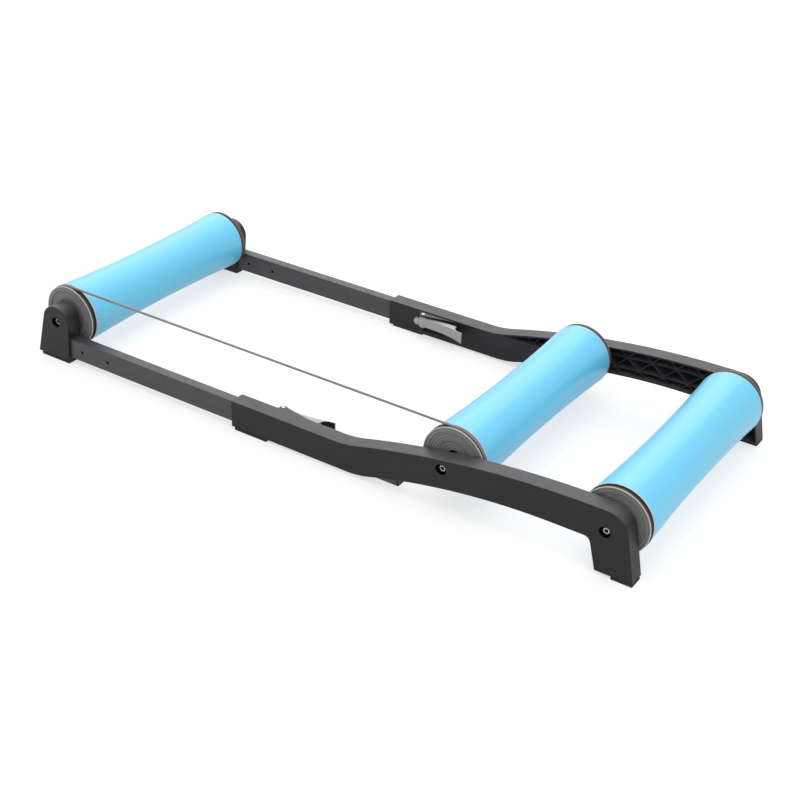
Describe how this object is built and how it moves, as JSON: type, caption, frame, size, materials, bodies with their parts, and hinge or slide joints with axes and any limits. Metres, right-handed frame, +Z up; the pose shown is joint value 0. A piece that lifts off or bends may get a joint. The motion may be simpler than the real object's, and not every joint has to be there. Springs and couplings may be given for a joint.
{
  "type": "bike rollers",
  "caption": "Indoor bike training rollers: waisted drums in a telescoping frame of plastic arms and steel rails, with a belt to the front drum and clamp levers.",
  "frame": {"origin": "on the floor, under the middle of the machine as the picture shows it set", "axes": "+X along the bike towards its rear wheel, +Y across to the rider's right, +Z up"},
  "size_m": [1.1805, 0.488, 0.1295],
  "materials": {
    "arm_plastic": "near-black satin moulding",
    "rail_paint": "dark grey semi-gloss paint on steel tube",
    "drum_plastic": "sky blue, smooth and glossy",
    "cap_plastic": "mid grey moulding",
    "lever_finish": "light grey satin",
    "belt_rubber": "warm grey round cord",
    "pad_rubber": "black rubber",
    "bright_steel": "zinc-plated steel"
  },
  "bodies": {
    "frame": {"side_arm_left": "arm_plastic", "side_arm_right": "arm_plastic", "sleeve_pad_left": "pad_rubber", "sleeve_pad_right": "pad_rubber", "foot_pad_left": "pad_rubber", "foot_pad_right": "pad_rubber", "clamp_pin_left": "bright_steel", "clamp_pin_right": "bright_steel", "middle_axle_screw_left": "bright_steel", "middle_axle_screw_right": "bright_steel", "rear_axle_screw_left": "bright_steel", "rear_axle_screw_right": "bright_steel", "middle_inner_race_left": "bright_steel", "middle_inner_race_right": "bright_steel", "rear_inner_race_left": "bright_steel", "rear_inner_race_right": "bright_steel", "middle_axle": "bright_steel", "rear_axle": "bright_steel", "drive_belt": "belt_rubber"},
    "front_carriage": {"rail_left": "rail_paint", "rail_right": "rail_paint", "rail_plug_left": "arm_plastic", "rail_plug_right": "arm_plastic", "front_bracket_left": "arm_plastic", "front_bracket_right": "arm_plastic", "bracket_screw_left": "bright_steel", "bracket_screw_right": "bright_steel", "bracket_pad_left": "pad_rubber", "bracket_pad_right": "pad_rubber", "front_axle_screw_left": "bright_steel", "front_axle_screw_right": "bright_steel", "front_inner_race_left": "bright_steel", "front_inner_race_right": "bright_steel", "front_axle": "bright_steel"},
    "front_roller": {"front_drum": "drum_plastic", "front_end_cap_left": "cap_plastic", "front_end_cap_right": "cap_plastic", "front_outer_race_left": "bright_steel", "front_outer_race_right": "bright_steel"},
    "middle_roller": {"middle_drum": "drum_plastic", "middle_end_cap_left": "cap_plastic", "middle_end_cap_right": "cap_plastic", "middle_outer_race_left": "bright_steel", "middle_outer_race_right": "bright_steel"},
    "rear_roller": {"rear_drum": "drum_plastic", "rear_end_cap_left": "cap_plastic", "rear_end_cap_right": "cap_plastic", "rear_outer_race_left": "bright_steel", "rear_outer_race_right": "bright_steel"},
    "lever_left": {"clamp_lever_left": "lever_finish"},
    "shoe_left": {"clamp_shoe_left": "pad_rubber"},
    "lever_right": {"clamp_lever_right": "lever_finish"},
    "shoe_right": {"clamp_shoe_right": "pad_rubber"}
  },
  "joints": [
    {"name": "carriage_slide", "type": "slide", "parent": "frame", "child": "front_carriage", "axis": [-1, 0, 0], "range_m": [-0.36, 0.17], "deforming": ["drive_belt"]},
    {"name": "front_spin", "type": "hinge", "parent": "front_carriage", "child": "front_roller", "pos_m": [-0.535, 0, 0.074], "axis": [0, 1, 0], "continuous": true},
    {"name": "middle_spin", "type": "hinge", "parent": "frame", "child": "middle_roller", "pos_m": [0.263, 0, 0.074], "axis": [0, 1, 0], "continuous": true},
    {"name": "rear_spin", "type": "hinge", "parent": "frame", "child": "rear_roller", "pos_m": [0.535, 0, 0.074], "axis": [0, 1, 0], "continuous": true},
    {"name": "lever_left_swing", "type": "hinge", "parent": "frame", "child": "lever_left", "pos_m": [-0.061, -0.207, 0.036], "axis": [0, 0, 1], "range_deg": [0, 50]},
    {"name": "shoe_left_press", "type": "slide", "parent": "frame", "child": "shoe_left", "axis": [0, 1, 0], "range_m": [0, 0.0006]},
    {"name": "lever_right_swing", "type": "hinge", "parent": "frame", "child": "lever_right", "pos_m": [-0.061, 0.207, 0.036], "axis": [0, 0, -1], "range_deg": [0, 50]},
    {"name": "shoe_right_press", "type": "slide", "parent": "frame", "child": "shoe_right", "axis": [0, -1, 0], "range_m": [0, 0.0006]}
  ],
  "couplings": [
    {"joint": "front_spin", "follows": "middle_spin", "ratio": 1},
    {"joint": "shoe_left_press", "follows": "lever_left_swing", "m_per_rad": 0.00062},
    {"joint": "shoe_right_press", "follows": "lever_right_swing", "m_per_rad": 0.00062}
  ]
}
